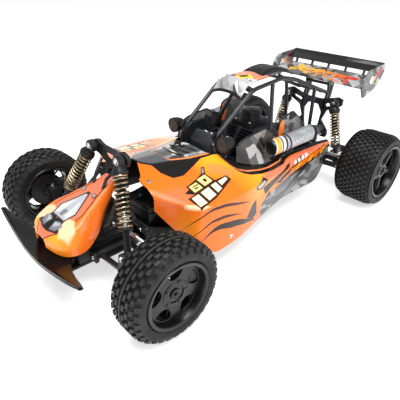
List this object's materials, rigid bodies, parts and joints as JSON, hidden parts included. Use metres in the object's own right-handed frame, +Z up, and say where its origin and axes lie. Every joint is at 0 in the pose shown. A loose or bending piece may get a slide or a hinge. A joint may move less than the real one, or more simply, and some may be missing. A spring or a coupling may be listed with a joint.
{
  "type": "radio-controlled desert buggy",
  "caption": "Radio-controlled rear-drive desert buggy with orange printed shell, open roll cage, coil-over suspension, knobbly tyres and a rear wing.",
  "frame": {"origin": "on the ground, midway between the front and rear axles and between the left and right wheels", "axes": "+X to the vehicle's left, +Y towards the tail along the vehicle, +Z up; the nose points along -Y"},
  "size_m": [0.2608, 0.456, 0.1635],
  "materials": {
    "black_plastic": "satin moulded",
    "gloss_black": "gloss",
    "orange_shell": "gloss, printed",
    "printed_panel": "gloss, printed",
    "tyre_rubber": "matte",
    "rim_plastic": "semi-gloss",
    "spring_steel": "bright",
    "steel": "bright",
    "silver": "satin",
    "battery_wrap": "satin"
  },
  "bodies": {
    "chassis": {"chassis_tub": "black_plastic", "front_bulkhead": "black_plastic", "rear_shock_tower": "black_plastic", "battery": "battery_wrap", "steering_servo": "black_plastic", "engine_block": "black_plastic", "motor": "silver", "rear_gearbox": "black_plastic", "front_bumper": "gloss_black", "nose_cowl": "orange_shell", "body_shell": "orange_shell", "cockpit_liner": "printed_panel", "roof_panel": "printed_panel", "rear_wing": "printed_panel", "roll_cage": "black_plastic", "lamp_left": "black_plastic", "lamp_right": "black_plastic", "exhaust_left": "silver", "exhaust_right": "silver"},
    "front_arm_left": {"front_arm_left": "black_plastic"},
    "front_carrier_left": {"front_carrier_left": "black_plastic"},
    "front_knuckle_left": {"steering_knuckle_left": "black_plastic"},
    "front_wheel_left": {"front_tyre_left": "tyre_rubber", "front_rim_left": "rim_plastic"},
    "front_link_left": {"front_upper_link_left": "black_plastic"},
    "front_shock_left": {"front_shock_body_left": "black_plastic", "front_spring_left": "spring_steel"},
    "front_rod_left": {"front_shock_rod_left": "steel"},
    "tie_rod_left": {"tie_rod_left": "black_plastic"},
    "rear_arm_left": {"rear_arm_left": "black_plastic"},
    "rear_carrier_left": {"rear_carrier_left": "black_plastic"},
    "rear_wheel_left": {"rear_tyre_left": "tyre_rubber", "rear_rim_left": "rim_plastic"},
    "rear_link_left": {"rear_upper_link_left": "black_plastic"},
    "rear_shock_left": {"rear_shock_body_left": "black_plastic", "rear_spring_left": "spring_steel"},
    "rear_rod_left": {"rear_shock_rod_left": "steel"},
    "driveshaft_left": {"driveshaft_left": "steel"},
    "front_arm_right": {"front_arm_right": "black_plastic"},
    "front_carrier_right": {"front_carrier_right": "black_plastic"},
    "front_knuckle_right": {"steering_knuckle_right": "black_plastic"},
    "front_wheel_right": {"front_tyre_right": "tyre_rubber", "front_rim_right": "rim_plastic"},
    "front_link_right": {"front_upper_link_right": "black_plastic"},
    "front_shock_right": {"front_shock_body_right": "black_plastic", "front_spring_right": "spring_steel"},
    "front_rod_right": {"front_shock_rod_right": "steel"},
    "tie_rod_right": {"tie_rod_right": "black_plastic"},
    "rear_arm_right": {"rear_arm_right": "black_plastic"},
    "rear_carrier_right": {"rear_carrier_right": "black_plastic"},
    "rear_wheel_right": {"rear_tyre_right": "tyre_rubber", "rear_rim_right": "rim_plastic"},
    "rear_link_right": {"rear_upper_link_right": "black_plastic"},
    "rear_shock_right": {"rear_shock_body_right": "black_plastic", "rear_spring_right": "spring_steel"},
    "rear_rod_right": {"rear_shock_rod_right": "steel"},
    "driveshaft_right": {"driveshaft_right": "steel"},
    "rack": {"steering_rack": "black_plastic"},
    "spur_gear": {"spur_gear": "black_plastic"},
    "pinion": {"pinion": "steel"}
  },
  "joints": [
    {"name": "front_arm_left", "type": "hinge", "parent": "chassis", "child": "front_arm_left", "pos_m": [0.022, -0.164, 0.033], "axis": [0, -1, 0], "range_deg": [0, 18], "stiffness_Nm_per_rad": 1.2, "springref_deg": -25.78},
    {"name": "front_carrier_left", "type": "hinge", "parent": "front_arm_left", "child": "front_carrier_left", "pos_m": [0.082, -0.164, 0.035], "axis": [0, -1, 0], "range_deg": [-18, 0]},
    {"name": "front_steer_left", "type": "hinge", "parent": "front_carrier_left", "child": "front_knuckle_left", "pos_m": [0.088, -0.164, 0.045], "axis": [0, 0, 1], "range_deg": [-25, 25]},
    {"name": "front_spin_left", "type": "hinge", "parent": "front_knuckle_left", "child": "front_wheel_left", "pos_m": [0.1086, -0.164, 0.045], "axis": [1, 0, 0], "continuous": true},
    {"name": "front_link_left", "type": "hinge", "parent": "chassis", "child": "front_link_left", "pos_m": [0.024, -0.155, 0.06], "axis": [0, -1, 0], "range_deg": [0, 18]},
    {"name": "front_shock_left", "type": "hinge", "parent": "chassis", "child": "front_shock_left", "pos_m": [0.023, -0.1456, 0.1188], "axis": [-0.8227, 0.2174, -0.5252], "range_deg": [0, 3.2]},
    {"name": "front_rod_left", "type": "slide", "parent": "front_shock_left", "child": "front_rod_left", "axis": [-0.465, 0.2741, 0.8418], "range_m": [0, 0.013], "deforming": ["front_spring_left"]},
    {"name": "front_arm_right", "type": "hinge", "parent": "chassis", "child": "front_arm_right", "pos_m": [-0.022, -0.164, 0.033], "axis": [0, 1, 0], "range_deg": [0, 18], "stiffness_Nm_per_rad": 1.2, "springref_deg": -25.78},
    {"name": "front_carrier_right", "type": "hinge", "parent": "front_arm_right", "child": "front_carrier_right", "pos_m": [-0.082, -0.164, 0.035], "axis": [0, 1, 0], "range_deg": [-18, 0]},
    {"name": "front_steer_right", "type": "hinge", "parent": "front_carrier_right", "child": "front_knuckle_right", "pos_m": [-0.088, -0.164, 0.045], "axis": [0, 0, 1], "range_deg": [-25, 25]},
    {"name": "front_spin_right", "type": "hinge", "parent": "front_knuckle_right", "child": "front_wheel_right", "pos_m": [-0.1086, -0.164, 0.045], "axis": [1, 0, 0], "continuous": true},
    {"name": "front_link_right", "type": "hinge", "parent": "chassis", "child": "front_link_right", "pos_m": [-0.024, -0.155, 0.06], "axis": [0, 1, 0], "range_deg": [0, 18]},
    {"name": "front_shock_right", "type": "hinge", "parent": "chassis", "child": "front_shock_right", "pos_m": [-0.023, -0.1456, 0.1188], "axis": [-0.8227, -0.2174, 0.5252], "range_deg": [0, 3.2]},
    {"name": "front_rod_right", "type": "slide", "parent": "front_shock_right", "child": "front_rod_right", "axis": [0.465, 0.2741, 0.8418], "range_m": [0, 0.013], "deforming": ["front_spring_right"]},
    {"name": "rack_slide", "type": "slide", "parent": "chassis", "child": "rack", "axis": [1, 0, 0], "range_m": [-0.009, 0.009]},
    {"name": "tie_rod_left", "type": "hinge", "parent": "rack", "child": "tie_rod_left", "pos_m": [0.028, -0.13, 0.044], "axis": [0, -1, 0], "range_deg": [0, 18]},
    {"name": "tie_rod_right", "type": "hinge", "parent": "rack", "child": "tie_rod_right", "pos_m": [-0.028, -0.13, 0.044], "axis": [0, 1, 0], "range_deg": [0, 18]},
    {"name": "rear_arm_left", "type": "hinge", "parent": "chassis", "child": "rear_arm_left", "pos_m": [0.02, 0.164, 0.0335], "axis": [0, -1, 0], "range_deg": [0, 20], "stiffness_Nm_per_rad": 1.2, "springref_deg": -25.78},
    {"name": "rear_carrier_left", "type": "hinge", "parent": "rear_arm_left", "child": "rear_carrier_left", "pos_m": [0.068, 0.164, 0.0345], "axis": [0, -1, 0], "range_deg": [-20, 0]},
    {"name": "rear_spin_left", "type": "hinge", "parent": "rear_carrier_left", "child": "rear_wheel_left", "pos_m": [0.1067, 0.164, 0.045], "axis": [1, 0, 0], "continuous": true},
    {"name": "rear_link_left", "type": "hinge", "parent": "chassis", "child": "rear_link_left", "pos_m": [0.022, 0.151, 0.06], "axis": [0, -1, 0], "range_deg": [0, 20]},
    {"name": "driveshaft_left", "type": "hinge", "parent": "chassis", "child": "driveshaft_left", "pos_m": [0.02, 0.164, 0.044], "axis": [0, -1, 0], "range_deg": [0, 20]},
    {"name": "rear_shock_left", "type": "hinge", "parent": "chassis", "child": "rear_shock_left", "pos_m": [0.0365, 0.177, 0.1073], "axis": [0, 1, 0], "range_deg": [0, 3.4]},
    {"name": "rear_rod_left", "type": "slide", "parent": "rear_shock_left", "child": "rear_rod_left", "axis": [-0.2233, 0, 0.9748], "range_m": [0, 0.011], "deforming": ["rear_spring_left"]},
    {"name": "rear_arm_right", "type": "hinge", "parent": "chassis", "child": "rear_arm_right", "pos_m": [-0.02, 0.164, 0.0335], "axis": [0, 1, 0], "range_deg": [0, 20], "stiffness_Nm_per_rad": 1.2, "springref_deg": -25.78},
    {"name": "rear_carrier_right", "type": "hinge", "parent": "rear_arm_right", "child": "rear_carrier_right", "pos_m": [-0.068, 0.164, 0.0345], "axis": [0, 1, 0], "range_deg": [-20, 0]},
    {"name": "rear_spin_right", "type": "hinge", "parent": "rear_carrier_right", "child": "rear_wheel_right", "pos_m": [-0.1067, 0.164, 0.045], "axis": [1, 0, 0], "continuous": true},
    {"name": "rear_link_right", "type": "hinge", "parent": "chassis", "child": "rear_link_right", "pos_m": [-0.022, 0.151, 0.06], "axis": [0, 1, 0], "range_deg": [0, 20]},
    {"name": "driveshaft_right", "type": "hinge", "parent": "chassis", "child": "driveshaft_right", "pos_m": [-0.02, 0.164, 0.044], "axis": [0, 1, 0], "range_deg": [0, 20]},
    {"name": "rear_shock_right", "type": "hinge", "parent": "chassis", "child": "rear_shock_right", "pos_m": [-0.0365, 0.177, 0.1073], "axis": [0, -1, 0], "range_deg": [0, 3.4]},
    {"name": "rear_rod_right", "type": "slide", "parent": "rear_shock_right", "child": "rear_rod_right", "axis": [0.2233, 0, 0.9748], "range_m": [0, 0.011], "deforming": ["rear_spring_right"]},
    {"name": "spur_spin", "type": "hinge", "parent": "chassis", "child": "spur_gear", "pos_m": [-0.02075, 0.126, 0.058], "axis": [1, 0, 0], "continuous": true},
    {"name": "pinion_spin", "type": "hinge", "parent": "chassis", "child": "pinion", "pos_m": [-0.02075, 0.102, 0.058], "axis": [1, 0, 0], "continuous": true}
  ],
  "couplings": [
    {"joint": "front_carrier_left", "follows": "front_arm_left", "ratio": -1},
    {"joint": "front_link_left", "follows": "front_arm_left", "ratio": 1},
    {"joint": "front_shock_left", "follows": "front_arm_left", "ratio": 0.17238},
    {"joint": "front_rod_left", "follows": "front_arm_left", "m_per_rad": 0.040342},
    {"joint": "front_carrier_right", "follows": "front_arm_right", "ratio": -1},
    {"joint": "front_steer_right", "follows": "front_steer_left", "ratio": 1},
    {"joint": "front_link_right", "follows": "front_arm_right", "ratio": 1},
    {"joint": "front_shock_right", "follows": "front_arm_right", "ratio": 0.17238},
    {"joint": "front_rod_right", "follows": "front_arm_right", "m_per_rad": 0.040342},
    {"joint": "rack_slide", "follows": "front_steer_left", "m_per_rad": -0.0194},
    {"joint": "tie_rod_left", "follows": "front_arm_left", "ratio": 1},
    {"joint": "tie_rod_right", "follows": "front_arm_right", "ratio": 1},
    {"joint": "rear_carrier_left", "follows": "rear_arm_left", "ratio": -1},
    {"joint": "rear_link_left", "follows": "rear_arm_left", "ratio": 1},
    {"joint": "driveshaft_left", "follows": "rear_arm_left", "ratio": 1},
    {"joint": "rear_shock_left", "follows": "rear_arm_left", "ratio": 0.16411},
    {"joint": "rear_rod_left", "follows": "rear_arm_left", "m_per_rad": 0.031078},
    {"joint": "rear_carrier_right", "follows": "rear_arm_right", "ratio": -1},
    {"joint": "rear_spin_right", "follows": "rear_spin_left", "ratio": 1},
    {"joint": "rear_link_right", "follows": "rear_arm_right", "ratio": 1},
    {"joint": "driveshaft_right", "follows": "rear_arm_right", "ratio": 1},
    {"joint": "rear_shock_right", "follows": "rear_arm_right", "ratio": 0.16411},
    {"joint": "rear_rod_right", "follows": "rear_arm_right", "m_per_rad": 0.031078},
    {"joint": "spur_spin", "follows": "rear_spin_left", "ratio": 2.6},
    {"joint": "pinion_spin", "follows": "rear_spin_left", "ratio": -7.8}
  ]
}
